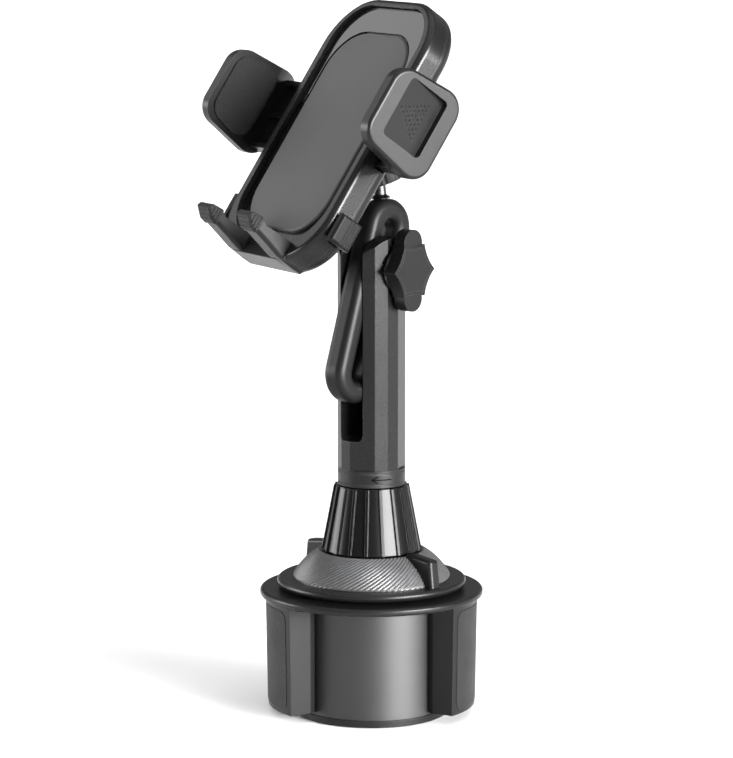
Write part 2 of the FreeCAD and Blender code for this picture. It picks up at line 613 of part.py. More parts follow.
def make_column():
    """Faceted post with a slot for the arm, two round-topped ears and a spindle into the collet."""
    pivot = mm("pivot_height")
    ear = mm("ear_radius")
    prism = column_prism(mm("column_bottom"), pivot + ear)
    wide = 2 * mm("column_radius")
    ear_disc = Part.makeCylinder(ear, 2 * wide, Vector(0, -wide, pivot), Y_AXIS)
    below = Part.makeBox(2 * wide, 2 * wide, pivot - mm("column_bottom"),
                         Vector(-wide, -wide, mm("column_bottom")))
    post = prism.common(ear_disc.fuse(below))
    half = mm("slot_half")
    wall_face = mm("back_wall") - mm("column_radius")
    front = Part.makeBox(wide, 2 * half, pivot, Vector(wall_face, -half, mm("slot_floor")))
    floor_edges = [edge for edge in front.Edges
                   if edge.BoundBox.ZMax < mm("slot_floor") + 0.1 and edge.BoundBox.YLength < 0.1]
    front = front.makeFillet(mm("slot_corner"), floor_edges)
    through = Part.makeBox(2 * wide, 2 * half, pivot, Vector(-wide, -half, mm("back_wall_top")))
    post = post.cut(front.fuse(through))
    seat = Part.makeCylinder(mm("band_seat"), mm("column_bottom") - mm("band_bottom"),
                             Vector(0, 0, mm("band_bottom")))
    spindle = Part.makeCylinder(mm("spindle_radius"), mm("band_bottom") - mm("spindle_bottom"),
                                Vector(0, 0, mm("spindle_bottom")))
    offset = mm("pivot_offset")
    hole = Part.makeCylinder(mm("bolt_radius"), 2 * wide, Vector(offset, -wide, pivot), Y_AXIS)
    head = hexagon(mm("bolt_head_radius"), wide).translated(Vector(0, 0, -wide - mm("bolt_head_seat")))
    head.Placement = Placement(Vector(offset, 0, pivot), Rotation(X_AXIS, -90)) * head.Placement
    post = post.fuse(seat).fuse(spindle).cut(hole).cut(head)
    shape_node("column_post", post.removeSplitter(), swing_frame)


def six_points(radius, height):
    """Corners of a regular hexagon, the first on X and repeated at the end."""
    turns = [math.radians(60 * index) for index in range(7)]
    return [Vector(radius * math.cos(turn), radius * math.sin(turn), height) for turn in turns]


def hexagon(radius, height):
    """Upright hexagonal prism, a vertex on X."""
    return Part.Face(Part.makePolygon(six_points(radius, 0))).extrude(Vector(0, 0, height))


def make_band():
    """Plain ring with two pairs of fine grooves."""
    height = mm("column_bottom") - mm("band_bottom")
    ring = tube("@band_radius", "@band_seat", "@band_bottom", "@column_bottom - @band_bottom")
    grooves = []
    for part in (0.12, 0.2, 0.8, 0.88):
        groove = doc.addObject("Part::Torus", "groove")
        bind(groove, Radius1="@band_radius", Radius2="0.12")
        bind(groove, Placement__Base__z=f"@band_bottom + {part * height}")
        grooves.append(groove)
    keep(cut(ring, *grooves), "arrow_band", swing_frame)


# ---- clamp bolt, knob -------------------------------------------------------------------------------

def make_bolt():
    head = hexagon(mm("bolt_head_radius") - 0.1, mm("bolt_head_thick"))
    head.translate(Vector(0, 0, -mm("bolt_head_seat") - mm("bolt_head_thick")))
    length = mm("bolt_head_seat") + mm("knob_start") + mm("knob_thick") - mm("cap_thick") - 0.5
    shank = Part.makeCylinder(mm("bolt_radius"), length, Vector(0, 0, -mm("bolt_head_seat")))
    shape_node("clamp_bolt", head.fuse(shank), bolt_frame)
    washer = tube("@washer_radius", "@bolt_radius", "@washer_start", "@washer_thick")
    keep(washer, "pivot_washer", bolt_frame)


def star(radius, dish, height, start):
    """Six-pointed prism with hollowed sides, a point on X."""
    points = six_points(radius, start)
    edges = []
    for first, second in zip(points, points[1:]):
        middle = (first + second) / 2
        inward = Vector(middle.x, middle.y, 0).normalize() * dish
        edges.append(Part.Arc(first, middle - inward, second).toShape())
    return Part.Face(Part.Wire(edges)).extrude(Vector(0, 0, height))


def make_knob():
    """Star knob with two domed lobes, a brass insert and a flat cap let into its face."""
    start = mm("knob_start")
    thick = mm("knob_thick")
    body = star(mm("knob_radius"), mm("knob_dish"), thick, start)
    half = mm("lobe_half_width")
    reach = mm("lobe_reach")
    lobe_thick = thick - 0.6
    lobes = Part.makeBox(2 * half, 2 * (reach - half), lobe_thick, Vector(-half, half - reach, start))
    for side in (-1, 1):
        lobes = lobes.fuse(Part.makeCylinder(half, lobe_thick, Vector(0, side * (reach - half), start)))
    dome = Part.makeSphere(mm("lobe_dome"), Vector(0, 0, start - 2.5))
    body = body.fuse(lobes.common(dome))
    insert = hexagon(mm("insert_radius"), thick - mm("cap_thick")).translated(Vector(0, 0, start))
    screw_room = Part.makeCylinder(mm("bolt_radius") + 0.05, thick, Vector(0, 0, start))
    cap = star(mm("cap_radius"), mm("knob_dish") * 0.8, mm("cap_thick"), start + thick - mm("cap_thick"))
    shape_node("clamp_knob", body.cut(insert).cut(cap).removeSplitter(), bolt_frame)
    shape_node("knob_insert", insert.cut(screw_room), bolt_frame)
    shape_node("knob_cap", cap, bolt_frame)


# ---- slotted arm, bush, ball stud -------------------------------------------------------------------

def racetrack(half_width, low, high, half_thick):
    """Round-ended plate in the arm's plane, between two end centres, centred on its thickness."""
    shape = Part.makeBox(2 * half_width, 2 * half_thick, high - low, Vector(-half_width, -half_thick, low))
    for height in (low, high):
        end = Part.makeCylinder(half_width, 2 * half_thick, Vector(0, -half_thick, height), Y_AXIS)
        shape = shape.fuse(end)
    return shape.removeSplitter()


def make_arm():
    """Long link, rounded on both faces, with a slot for the bolt and a threaded hole for the stud."""
    half = mm("arm_half_thick")
    low = -mm("arm_below")
    high = mm("arm_above")
    link = racetrack(mm("arm_half_width"), low, high, half)
    slot = racetrack(mm("arm_slot_half"), low, high, half + 1)
    link = link.cut(slot)
    rims = [edge for edge in link.Edges
            if abs(abs(edge.BoundBox.YMin) - half) < 0.01 and edge.BoundBox.YLength < 0.01]
    link = link.makeFillet(mm("arm_round"), rims)
    thread = Part.makeCylinder(mm("stud_thread_radius"), 2 * mm("arm_half_width"))
    thread.Placement = arm_frame.inverse() * stud_frame
    shape_node("slotted_arm", link.cut(thread).removeSplitter(), arm_frame)
    bush_low = mm("bush_half_width") - mm("bush_half_length")
    bush = racetrack(mm("bush_half_width"), bush_low, -bush_low, mm("bush_half_thick"))
    bore = Part.makeCylinder(mm("bolt_radius") + 0.05, 4 * half, Vector(0, -2 * half, 0), Y_AXIS)
    shape_node("slot_bush", bush.cut(bore), arm_frame)


def make_stud():
    """Steel stud screwed into the arm's end, with a seat collar and a tip inside the ball."""
    ring = mm("arm_half_width")
    rise = mm("stud_rise")
    thread = Part.makeCylinder(mm("stud_thread_radius"), rise + 3 - mm("arm_slot_half") - 0.6,
                               Vector(0, 0, mm("arm_slot_half") + 0.6))
    seat = Part.makeCone(mm("stud_seat_radius"), mm("stud_radius"), 1.2, Vector(0, 0, ring + 0.1))
    neck_length = rise - mm("ball_radius") + 0.2 - ring
    neck = Part.makeCylinder(mm("stud_radius"), neck_length, Vector(0, 0, ring + 0.1))
    ball_room = Part.makeSphere(mm("ball_radius") + 0.05, Vector(0, 0, rise))
    shape_node("ball_stud", thread.fuse(seat).fuse(neck.cut(ball_room)).removeSplitter(), stud_frame)
    ball_frame = stud_frame * Placement(Vector(0, 0, rise), Rotation())
    bore = cylinder("@ball_bore", "-@ball_radius", "@ball_radius + 3.2")
    keep(cut(sphere("@ball_radius"), bore), "ball", ball_frame)


# ---- ball socket ------------------------------------------------------------------------------------

def make_liner():
    """Plastic shell round the ball, open below for the stud, with two round holes on its tilting axis."""
    holes = cylinder("@liner_hole", "0", "2 * @liner_outer")
    holes.Placement = Placement(Vector(-mm("liner_outer"), 0, 0), Rotation(Y_AXIS, 90))
    shell = cut(sphere("@liner_outer"), sphere("@liner_inner"), holes)
    band = cylinder("@liner_outer + 1", "@liner_high", "@liner_low - @liner_high")
    keep(common(shell, band), "ball_liner", socket_frame)


def make_nut():
    """Fluted ring that screws onto the socket cup and holds the ball in."""
    height = mm("nut_top") - mm("nut_bottom")
    nut = Part.makeCylinder(mm("nut_radius"), height, Vector(0, 0, mm("nut_bottom")))
    nut = nut.makeFillet(0.8, [edge for edge in nut.Edges if edge.BoundBox.ZLength < 0.01])
    low = Vector(0, 0, mm("nut_bottom"))
    nut = nut.cut(Part.makeCylinder(mm("nut_bore"), mm("nut_seat") - mm("nut_bottom"), low))
    nut = nut.cut(Part.makeSphere(mm("cup_inner")))
    flute = Part.makeCylinder(mm("flute_radius"), height, low + Vector(mm("nut_radius") + 0.6, 0, 1.5))
    for index in range(int(mm("nut_flutes"))):
        nut = nut.cut(flute.rotated(Vector(), Z_AXIS, 360 / mm("nut_flutes") * index))
    shape_node("ball_nut", nut, socket_frame)


def socket_cup():
    """The threaded cup on the cradle's back, in the cradle frame, trimmed at the cover."""
    cup = Part.makeCylinder(mm("cup_outer"), mm("cup_root") + mm("cup_lip"), Vector(0, 0, -mm("cup_root")))
    cup = cup.cut(Part.makeSphere(mm("cup_inner")))
    cup = cup.cut(Part.makeCylinder(mm("cup_inner"), mm("cup_lip") + 1))
    cup.Placement = Placement(Vector(), Rotation(X_AXIS, 180 - mm("socket_tilt")))
    reach = 60
    floor_level = mm("cover_back") + mm("cover_floor")
    above = Part.makeBox(reach, reach, reach, Vector(-reach / 2, -reach / 2, floor_level))
    return cup.cut(above)


# ---- cradle housing ---------------------------------------------------------------------------------

HOUSING = ("housing_half_width", "housing_half_length", "housing_corner", "cradle_centre")
CAVITY = ("cavity_half_width", "cavity_half_length", "cavity_corner", "cavity_centre")
RECESS = ("recess_half_width", "recess_half_length", "recess_corner", "recess_centre")
FACE_PAD = ("pad_half_width", "pad_half_length", "pad_corner", "pad_centre")
PANEL = ("panel_half_width", "panel_half_length", "panel_corner", "recess_centre")
PANEL_HOLE = ("panel_hole_half_width", "panel_hole_half_length", "panel_hole_corner", "pad_centre")


def screw_places():
    """The four corners where the cover is screwed to the shell."""
    return [(x, y) for x in ("@cover_screw_x", "-@cover_screw_x")
            for y in ("@cradle_centre + @cover_screw_y", "@cradle_centre - @cover_screw_y")]


def cover_screws():
    """Four countersunk screws up through the cover into the shell's bosses."""
    screws = []
    for x, y in screw_places():
        head = moved(cylinder("@cover_head_radius", "@cover_back + 0.4", "1.2"), x, y)
        shank = moved(cylinder("@cover_screw_radius", "@cover_back + 0.4", "@cover_thick"), x, y)
        screws.append(fuse(head, shank))
    return screws


def housing_windows():
    """Cuts through both halves of the housing: clamps, button stems, support foot and its tongue."""
    side = "@housing_half_width + 5"
    end = "@cradle_centre - @housing_half_length - 5"
    clamps = block(f"-({side})", side, "@clamp_centre - @window_half", "@clamp_centre + @window_half",
                   "@window_bottom", "@window_top")
    low = "@button_centre - @button_stem_half - @button_gap"
    high = "@button_centre + @button_stem_half + @button_gap"
    levels = ("@button_stem_bottom - @button_gap", "@button_stem_top + @button_gap")
    right = block("@button_inner - 4", side, low, high, *levels)
    left = block(f"-({side})", "4 - @button_inner", low, high, *levels)
    bar = block("-@foot_bar_half - @slide_gap", "@foot_bar_half + @slide_gap", end,
                "@foot_bar_inner + @slide_gap", "@foot_bar_bottom - @slide_gap", "@face_level + 1")
    tongue = block("-@foot_tongue_half - 0.4", "@foot_tongue_half + 0.4", end,
                   "@cavity_centre - @cavity_half_length + 1", "@cover_back + @cover_floor",
                   "@foot_tongue_top + 0.4")
    return [clamps, right, left, bar, tongue]


def make_back_cover(screws):
    """Shallow tray with rounded sides, the socket cup on its back and a blind hole for the pinion's pin."""
    body, base = plate("cover_body", HOUSING, "cover_back", "cover_thick")
    fillet_rim(body, base, mm("cover_back"), 1, "cover_round")
    hollow = sketch_on(body, offset="@cover_back + @cover_floor")
    draw_rounded_rectangle(hollow, *CAVITY)
    pocket(body, hollow, "@cover_thick - @cover_floor", upward=True)
    cup = doc.addObject("Part::Feature", "cup")
    cup.Shape = socket_cup()
    pin = moved(cylinder("@pin_radius", "@cover_back + 1", "@cover_thick"), "0", "@clamp_centre")
    keep(cut(fuse(body, cup), pin, *housing_windows(), *screws), "back_cover", cradle_frame)
    post_low = mm("cover_back") + 1
    post_height = mm("gear_bottom") + mm("gear_thick") + 0.6 - post_low
    post = Part.makeCylinder(mm("pin_radius"), post_height, Vector(0, mm("clamp_centre"), post_low))
    shape_node("pinion_pin", post, cradle_frame)


def shell_inside():
    """Screw bosses and spring seats that stand down from the shell's ceiling."""
    floor_level = "@cover_back + @cover_floor"
    height = f"@shell_bottom + @cavity_depth + 0.5 - ({floor_level})"
    bosses = [moved(cylinder("@boss_radius", floor_level, height), x, y) for x, y in screw_places()]
    inner = "@button_inner - @button_travel - @spring_length - @spring_wire - 0.5"
    seats = []
    for x_low, x_high in ((f"{inner} - @seat_thick", inner), (f"-({inner})", f"@seat_thick - ({inner})")):
        seats.append(block(x_low, x_high, "@button_centre - 2", "@button_centre + 2", floor_level,
                           "@shell_bottom + @cavity_depth + 0.5"))
    return bosses + seats


def hook_channels():
    """Two notches across the bezel's lower end, one for each hook."""
    half = "@hook_half_width + @slide_gap"
    return [block(f"{middle} - ({half})", f"{middle} + {half}", "@cradle_centre - @housing_half_length - 5",
                  "@hook_inner + 1", "@hook_seat - @slide_gap", "@face_level + 1")
            for middle in ("@hook_centre", "-@hook_centre")]


def make_front_shell(screws):
    """Side wall and bezel in one, open at the back, with windows for clamps, buttons and foot."""
    body, base = plate("shell_body", HOUSING, "shell_bottom", "shell_thick")
    fillet_rim(body, base, mm("face_level"), 1, "shell_round")
    hollow = sketch_on(body, offset="@shell_bottom")
    draw_rounded_rectangle(hollow, *CAVITY)
    pocket(body, hollow, "@cavity_depth", upward=True)
    recess = sketch_on(body, offset="@face_level")
    draw_rounded_rectangle(recess, *RECESS)
    pocket(body, recess, "@recess_depth")
    opened = cut(body, *housing_windows(), *hook_channels())
    keep(cut(fuse(opened, *shell_inside()), *screws), "front_shell", cradle_frame)


def make_face():
    body, base = plate("pad_body", FACE_PAD, "recess_floor", "face_pad_thick")
    fillet_rim(body, base, mm("recess_floor") + mm("face_pad_thick"), 1, "flange_round")
    keep(body, "face_pad", cradle_frame)
    panel, slab = plate("panel_body", PANEL, "recess_floor", "panel_thick")
    hole = sketch_on(panel, offset="@recess_floor + @panel_thick")
    draw_rounded_rectangle(hole, *PANEL_HOLE)
    pocket(panel, hole, "@panel_thick + 1")
    lower = block("-50", "50", "-90", "@panel_end", "@recess_floor - 1", "@recess_floor + @panel_thick + 1")
    keep(cut(panel, lower), "top_panel", cradle_frame)


# ---- clamps with rack and pinion --------------------------------------------------------------------

def tooth_half_width(depth, at_pitch):
    """Half the width of a straight-sided rack tooth, depth above (+) or below (-) the pitch line."""
    return at_pitch - depth * math.tan(math.radians(mm("pressure_angle")))


def rack_shape():
    """Toothed bar under the pinion, teeth towards +Y, pitch line one pitch radius below the centre."""
    pitch = math.pi * mm("gear_module")
    radius = mm("gear_module") * mm("gear_teeth") / 2
    half = pitch / 4 - mm("gear_backlash") / 2
    root = -mm("gear_dedendum")
    tip = mm("gear_addendum")
    bar = Part.makeBox(mm("rack_outer") - mm("rack_inner"), mm("rack_back") + root, mm("gear_thick"),
                       Vector(mm("rack_inner"), -radius - mm("rack_back"), mm("gear_bottom")))
    teeth = []
    first = math.ceil((mm("rack_inner") + pitch / 2) / pitch - 0.5)
    count = int((mm("rack_outer") - mm("rack_inner")) / pitch) - 1
    for index in range(count):
        middle = (first + index + 0.5) * pitch
        wide = tooth_half_width(root, half)
        narrow = tooth_half_width(tip, half)
        profile = [(-wide, root - 0.1), (wide, root - 0.1), (narrow, tip), (-narrow, tip)]
        points = [Vector(middle + x, y - radius, mm("gear_bottom")) for x, y in profile]
        face = Part.Face(Part.makePolygon(points + points[:1]))
        teeth.append(face.extrude(Vector(0, 0, mm("gear_thick"))))
    return bar.multiFuse(teeth).removeSplitter()


def pinion_shape():
    """Involute pinion with a tooth on +Y and one on -Y."""
    teeth = int(mm("gear_teeth"))
    pitch_radius = mm("gear_module") * teeth / 2
    base = pitch_radius * math.cos(math.radians(mm("pressure_angle")))
    tip = pitch_radius + mm("gear_addendum")
    root = pitch_radius - mm("gear_dedendum")

    def involute(radius):
        angle = math.acos(base / radius)
        return math.tan(angle) - angle
    half_at_pitch = (math.pi * mm("gear_module") / 4 - mm("gear_backlash") / 2) / pitch_radius

    def half_angle(radius):
        return half_at_pitch + involute(pitch_radius) - involute(max(radius, base))

    def flank_spot(radius, angle):
        return Vector(radius * math.cos(angle), radius * math.sin(angle), 0)
    gear = Part.makeCylinder(root, mm("gear_thick"))
    steps = 5
    for index in range(teeth):
        heading = math.pi / 2 + 2 * math.pi * index / teeth
        radii = [root - 0.2] + [base + (tip - base) * step / steps for step in range(steps + 1)]
        right = [flank_spot(radius, heading - half_angle(radius)) for radius in radii]
        left = [flank_spot(radius, heading + half_angle(radius)) for radius in radii]
        outline = right + left[::-1]
        tooth = Part.Face(Part.makePolygon(outline + outline[:1])).extrude(Vector(0, 0, mm("gear_thick")))
        gear = gear.fuse(tooth)
    return gear.cut(Part.makeCylinder(mm("gear_bore"), mm("gear_thick"))).removeSplitter()


def clamp_outline(inset, root, start, depth):
    """Rounded trapezoid prism in the clamp's upright plane, growing along X from start."""
    half_root = mm("clamp_root_half") - inset
    half_tip = mm("clamp_tip_half") - inset
    tip = mm("clamp_tip") - inset
    points = [Vector(start, -half_root, root), Vector(start, half_root, root),
              Vector(start, half_tip, tip), Vector(start, -half_tip, tip), Vector(start, -half_root, root)]
    prism = Part.Face(Part.makePolygon(points)).extrude(Vector(depth, 0, 0))
    corners = [edge for edge in prism.Edges if abs(edge.BoundBox.XLength - depth) < 0.01
               and edge.BoundBox.YLength < 0.01 and edge.BoundBox.ZLength < 0.01]
    return prism.makeFillet(mm("clamp_corner") - inset * 0.6, corners)


def clamp_shell_shape():
    """Outer cheek of a clamp; its thumb recess slopes deeper towards the root and has small dimples."""
    start = mm("shell_start")
    thick = mm("clamp_thick")
    shell = clamp_outline(0, mm("clamp_root"), start, thick)
    outer_rim = [edge for edge in shell.Edges
                 if abs(edge.BoundBox.XMin - start - thick) < 0.01 and edge.BoundBox.XLength < 0.01]
    shell = shell.makeFillet(mm("clamp_edge"), outer_rim)
    half = mm("thumb_half")
    thumb_floor = start + thick - mm("thumb_depth")
    cutter_deep = 4.0
    thumb = Part.makeBox(cutter_deep, 2 * half, mm("thumb_high") - mm("thumb_low"),
                         Vector(thumb_floor, mm("thumb_centre") - half, mm("thumb_low")))
    thumb_corners = [edge for edge in thumb.Edges if edge.BoundBox.XLength > cutter_deep - 0.1]
    thumb = thumb.makeFillet(mm("thumb_corner"), thumb_corners)
    dimples = dimple_triangle(Vector(thumb_floor - 0.3, mm("thumb_centre"), mm("dimple_base")))
    middle = Vector(thumb_floor, 0, (mm("thumb_low") + mm("thumb_high")) / 2)
    scoop = Part.Compound([thumb] + dimples).rotated(middle, Y_AXIS, mm("thumb_tilt"))
    return shell.cut(scoop)


def dimple_triangle(middle):
    """Rows of eight down to one dimple, the single one nearest the cheek's tip."""
    rows = 8
    dimples = []
    for row in range(rows):
        for index in range(rows - row):
            along = (index - (rows - row - 1) / 2) * mm("dimple_pitch")
            spot = middle + Vector(0, along, row * mm("dimple_row"))
            dimples.append(Part.makeCylinder(mm("dimple_radius"), 4, spot, X_AXIS))
    return dimples


def clamp_pad_shape():
    depth = mm("grip_thick")
    start = mm("shell_start") + mm("grip_depth") - depth
    return clamp_outline(mm("grip_inset_edge"), mm("grip_root"), start, depth)


def clamp_arm_shape():
    """Flat slide with raised edges, its rack riding above it."""
    start = mm("arm_plate_start")
    length = mm("arm_plate_end") - start
    half = mm("arm_plate_half")
    bottom = mm("arm_plate_bottom")
    plate_shape = Part.makeBox(length, 2 * half, mm("arm_plate_thick"), Vector(start, -half, bottom))
    rib = mm("arm_rib")
    rib_height = mm("arm_rib_top") - bottom
    for low in (-half, half - rib):
        plate_shape = plate_shape.fuse(Part.makeBox(length, rib, rib_height, Vector(start, low, bottom)))
    link_bottom = bottom + mm("arm_plate_thick")
    web_start = start + 8
    web = Part.makeBox(mm("arm_plate_end") - web_start, rib, 1.2, Vector(web_start, -rib / 2, link_bottom))
    plate_shape = plate_shape.fuse(web)
    radius = mm("gear_module") * mm("gear_teeth") / 2
    link = Part.makeBox(mm("rack_outer") - start, mm("rack_back") - mm("gear_dedendum"),
                        mm("gear_bottom") + mm("gear_thick") - link_bottom,
                        Vector(start, -radius - mm("rack_back"), link_bottom))
    return plate_shape.fuse(link).fuse(rack_shape()).removeSplitter()


def make_clamps():
    centre = Vector(0, mm("clamp_centre"), 0)
    for name, turn in (("right", 0), ("left", 180)):
        frame = cradle_frame * Placement(centre, Rotation(Z_AXIS, turn))
        shape_node(f"clamp_arm_{name}", clamp_arm_shape(), frame)
        pad_shape = clamp_pad_shape()
        shape_node(f"clamp_shell_{name}", clamp_shell_shape().cut(pad_shape), frame)
        shape_node(f"clamp_pad_{name}", pad_shape, frame)
    gear_frame = cradle_frame * Placement(centre + Vector(0, 0, mm("gear_bottom")), Rotation())
    shape_node("pinion", pinion_shape(), gear_frame)


# ---- release buttons --------------------------------------------------------------------------------

def button_shape():
    """Side button: thumb block outside the wall and a stem through it, drawn on the right side."""
    half = mm("button_half")
    seat = mm("button_seat")
    outer = mm("button_outer")
    height = mm("button_top") - mm("button_bottom")
    thumb = Part.makeBox(outer - seat, 2 * half, height, Vector(seat, -half, mm("button_bottom")))
    thumb = thumb.makeFillet(1.0, [edge for edge in thumb.Edges if edge.BoundBox.XMin > outer - 0.1])
    for index in range(4):
        level = mm("button_bottom") + 1.5 + index
        groove = Part.makeCylinder(0.3, 2 * half + 2, Vector(outer + 0.05, -half - 1, level), Y_AXIS)
        thumb = thumb.cut(groove)
    stem_half = mm("button_stem_half")
    stem_low = mm("button_stem_bottom")
    stem = Part.makeBox(seat - mm("button_inner") + 0.5, 2 * stem_half, mm("button_stem_top") - stem_low,
                        Vector(mm("button_inner"), -stem_half, stem_low))
    return thumb.fuse(stem).removeSplitter()


def spring_shape():
    """Small coil spring behind a button, drawn at its pressed length."""
    length = mm("spring_length")
    helix = Part.makeHelix(mm("spring_pitch"), length, mm("spring_radius"))
    section = Part.Wire(Part.Circle(Vector(mm("spring_radius"), 0, 0), Y_AXIS, mm("spring_wire")).toShape())
    coil = Part.Wire(helix).makePipeShell([section], True, True)
    middle = (mm("button_stem_bottom") + mm("button_stem_top")) / 2
    end = mm("button_inner") - mm("button_travel") - mm("spring_wire") - 0.1
    coil.Placement = Placement(Vector(end - length, 0, middle), Rotation(Y_AXIS, 90))
    return coil


def make_buttons():
    centre = Vector(0, mm("button_centre"), 0)
    for name, turn in (("right", 0), ("left", 180)):
        frame = cradle_frame * Placement(centre, Rotation(Z_AXIS, turn))
        shape_node(f"release_button_{name}", button_shape(), frame)
        shape_node(f"button_spring_{name}", spring_shape(), frame)


# ---- support foot -----------------------------------------------------------------------------------

def hook_profile(grow=0.0):
    """Side outline of a hook as (y, z): deep at its root, tapering to a tip that leans back."""
    inner = mm("hook_inner") + grow
    root = mm("hook_root_outer")
    tip = mm("hook_tip") + grow
    tip_outer = mm("hook_tip_outer") - grow
    seat = mm("hook_seat")
    return [(mm("foot_bar_inner"), mm("foot_bar_bottom")), (mm("foot_bar_inner"), seat),
            (inner - 0.6, seat), (inner, seat + 2), (inner - 0.3, seat + 13), (inner + 0.9, tip - 4.5),
            (inner + 0.6, tip - 1), (inner - 1.4, tip), (tip_outer, tip - 3), (tip_outer - 1.6, tip - 11),
            (root + 0.4, seat + 3.5), (root, seat - 3), (root, mm("foot_bar_bottom"))]


def hook_shape(middle, grow=0.0):
    """A hook centred on one x, its two outer edges well rounded."""
    half = mm("hook_half_width") + grow
    points = [Vector(middle - half, y, z) for y, z in hook_profile(grow)]
    hook = Part.Face(Part.makePolygon(points + points[:1])).extrude(Vector(2 * half, 0, 0))
    outer_side = [edge for edge in hook.Edges
                  if edge.BoundBox.XLength < 0.01 and edge.BoundBox.YMin < mm("hook_tip_outer") + 0.1
                  and edge.BoundBox.ZMax > mm("foot_bar_top")
                  and edge.BoundBox.ZMin > mm("foot_bar_bottom") + 1]
    return hook.makeFillet(mm("hook_round"), outer_side)


def hook_pad_shape(middle):
    """Thin rubber sleeve over a hook's tip, with fine ridges across it."""
    grow = mm("hook_pad_thick")
    half = mm("hook_half_width") + grow
    start = mm("hook_pad_start")
    deep = 15.0
    sleeve = hook_shape(middle, grow)
    back = mm("hook_inner") - deep + 4
    tip_box = Part.makeBox(2 * half, deep, deep, Vector(middle - half, back, start))
    sleeve = sleeve.common(tip_box).cut(hook_shape(middle))
    for index in range(3):
        level = start + 1.0 + 1.2 * index
        ring = Part.makeBox(2 * half + 2, deep, 0.4, Vector(middle - half - 1, back, level))
        core = hook_shape(middle, grow * 0.5)
        sleeve = sleeve.cut(ring.cut(core))
    return sleeve


def make_support_foot():
    """Bar flush with the housing's end, a tongue that slides in the housing, and two forward hooks."""
    half = mm("foot_bar_half")
    bottom = mm("foot_bar_bottom")
    body, base = plate("bar_outline", HOUSING, "foot_bar_bottom", "foot_bar_top - @foot_bar_bottom")
    doc.recompute()
    reach = 20.0
    bar_box = Part.makeBox(2 * half, reach, reach, Vector(-half, mm("foot_bar_inner") - reach, bottom))
    solid = body.Shape.common(bar_box)
    tongue_half = mm("foot_tongue_half")
    tongue = Part.makeBox(2 * tongue_half, mm("foot_tongue_inner") - mm("foot_bar_inner") + 1,
                          mm("foot_tongue_top") - mm("foot_tongue_bottom"),
                          Vector(-tongue_half, mm("foot_bar_inner") - 1, mm("foot_tongue_bottom")))
    solid = solid.fuse(tongue)
    end_wall = Part.makeBox(2 * reach, 2 * reach, 3 * reach, Vector(-reach, mm("hook_root_outer") - 0.2, 0))
    for name, side in (("left", -1), ("right", 1)):
        middle = side * mm("hook_centre")
        solid = solid.fuse(hook_shape(middle).common(end_wall))
        shape_node(f"hook_pad_{name}", hook_pad_shape(middle), cradle_frame)
    shape_node("support_foot", solid.removeSplitter(), cradle_frame)


# ---- assembly ---------------------------------------------------------------------------------------

def make_all():
    screws = floor_screws()
    make_drum(screws)
    make_underside()
    make_flange()
    make_neck_post(screws)
    keep(group(*screws), "floor_screws")
    make_dial()
    make_cam()
    make_foot("right", 0)
    make_foot("left", 180)
    make_collar()
    make_column()
    make_band()
    make_bolt()
    make_knob()
    make_arm()
    make_stud()
    make_liner()
    make_nut()
    back_screws = cover_screws()
    make_back_cover(back_screws)
    make_front_shell(back_screws)
    make_face()
    keep(group(*back_screws), "cover_screws", cradle_frame)
    make_clamps()
    make_buttons()
    make_support_foot()


def check_document():
    """Stop if any object failed or any sub-part has no valid shape."""
    for item in doc.Objects:
        if "Invalid" in item.State or "Error" in item.State:
            raise RuntimeError(f"{item.Label} failed: {item.State}")
    for item in NODES:
        if item.Shape.isNull() or not item.Shape.isValid():
            raise RuntimeError(f"{item.Label} has no valid shape")


def export_parts():
    os.makedirs("parts", exist_ok=True)
    for item in NODES:
        item.Shape.exportStep(os.path.join("parts", f"{item.Label}.step"))
        solids = len(item.Shape.Solids)
        print(f"{item.Label}: {solids} solid(s), {item.Shape.Volume:.0f} mm3")


make_all()
doc.recompute()
check_document()
export_parts()
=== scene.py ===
import json
import math

import bpy
import numpy as np
from mathutils import Matrix, Vector


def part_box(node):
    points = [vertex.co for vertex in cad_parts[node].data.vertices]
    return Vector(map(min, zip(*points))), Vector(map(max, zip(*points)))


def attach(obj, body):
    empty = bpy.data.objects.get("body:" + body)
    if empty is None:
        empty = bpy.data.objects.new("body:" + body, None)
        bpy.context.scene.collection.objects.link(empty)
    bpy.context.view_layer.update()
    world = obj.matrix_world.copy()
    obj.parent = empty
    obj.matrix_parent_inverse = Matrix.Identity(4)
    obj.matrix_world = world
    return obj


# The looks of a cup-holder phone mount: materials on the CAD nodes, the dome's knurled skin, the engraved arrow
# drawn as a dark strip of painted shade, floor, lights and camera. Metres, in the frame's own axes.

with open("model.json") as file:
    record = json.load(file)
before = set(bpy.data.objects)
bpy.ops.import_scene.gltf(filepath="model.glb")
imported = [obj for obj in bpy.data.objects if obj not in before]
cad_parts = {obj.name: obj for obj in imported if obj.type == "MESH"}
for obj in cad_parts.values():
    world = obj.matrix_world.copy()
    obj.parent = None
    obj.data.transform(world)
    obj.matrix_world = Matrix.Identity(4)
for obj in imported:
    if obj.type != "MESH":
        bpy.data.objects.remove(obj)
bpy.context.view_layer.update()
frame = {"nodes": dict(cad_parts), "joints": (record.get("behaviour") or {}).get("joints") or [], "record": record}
MM = 0.001


# ---- places and directions taken from the frame -----------------------------------------------------

JOINTS = {joint["name"]: joint for joint in frame["joints"]}


def joint_axis(name):
    return Vector(JOINTS[name]["axis"]).normalized()


ACROSS = joint_axis("clamp_left_slide")           # across the phone
ALONG = -joint_axis("support_slide")              # up the phone
OUT = joint_axis("pinion_turn")                   # out of the phone's screen
CRADLE_TURN = Matrix((ACROSS, ALONG, OUT)).transposed().to_euler()


# ---- shader building --------------------------------------------------------------------------------

